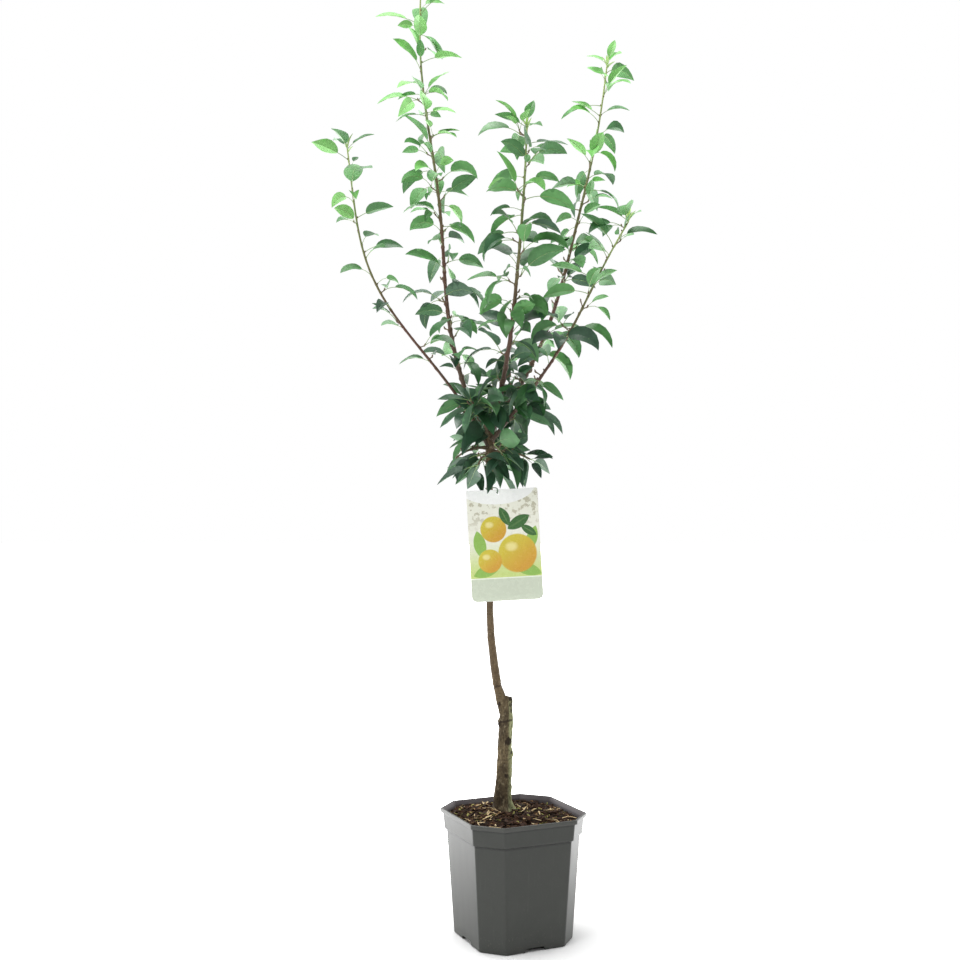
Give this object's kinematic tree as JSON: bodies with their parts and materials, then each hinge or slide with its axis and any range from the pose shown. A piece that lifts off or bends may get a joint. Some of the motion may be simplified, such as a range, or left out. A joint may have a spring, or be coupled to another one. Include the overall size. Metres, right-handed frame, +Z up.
{
  "type": "potted clapps favourite pear tree",
  "caption": "Young grafted pear tree with five upright shoots in leaf, standing in an eight-sided nursery pot of potting soil, with a picture card tied to its stem.",
  "frame": {"origin": "middle of the pot's flat underside, on the surface that it stands on", "axes": "+Z up along the tree, -Y towards the printed face of the card, +X to the right as one looks at that face"},
  "size_m": [0.5374, 0.438, 1.6202],
  "materials": {
    "pot_plastic": "dark grey moulded plastic, slightly dusty, with a soft sheen",
    "soil": "moist dark peat with pale straw and bark chips",
    "bark": "brown-grey bark, rough on the stock, smoother above the graft, with pale green patches",
    "shoot_bark": "smooth reddish-brown young bark with pale dots",
    "foliage": "smooth green leaves on thin stalks, dark below and light fresh green at the shoots' tips",
    "card": null,
    "tie": "thin green plastic cord"
  },
  "bodies": {
    "root": {"pot": "pot_plastic", "potting_soil": "soil", "trunk": "bark", "bough_left_outer": "shoot_bark", "bough_tall": "shoot_bark", "bough_centre": "shoot_bark", "bough_right_centre": "shoot_bark", "bough_right_outer": "shoot_bark", "leaves_tall_top": "foliage", "leaves_right_centre_top": "foliage", "leaves_left_outer_top": "foliage", "leaves_right_outer_top": "foliage", "leaves_centre_top": "foliage", "leaves_tall_upper": "foliage", "leaves_right_centre_upper": "foliage", "leaves_left_outer_low": "foliage", "leaves_right_outer_low": "foliage", "leaves_centre_middle": "foliage", "leaves_tall_middle": "foliage", "leaves_right_centre_middle": "foliage", "leaves_tall_low": "foliage", "leaves_centre_low": "foliage", "leaves_right_centre_low": "foliage", "leaves_skirt_left": "foliage", "leaves_skirt_front_left": "foliage", "leaves_skirt_front": "foliage", "leaves_skirt_right": "foliage", "leaves_skirt_back_right": "foliage", "leaves_skirt_back_left": "foliage", "leaves_heart_front": "foliage", "leaves_heart_right": "foliage", "leaves_heart_back": "foliage", "leaves_heart_left": "foliage", "picture_card": "card", "card_tie": "tie"}
  },
  "joints": []
}
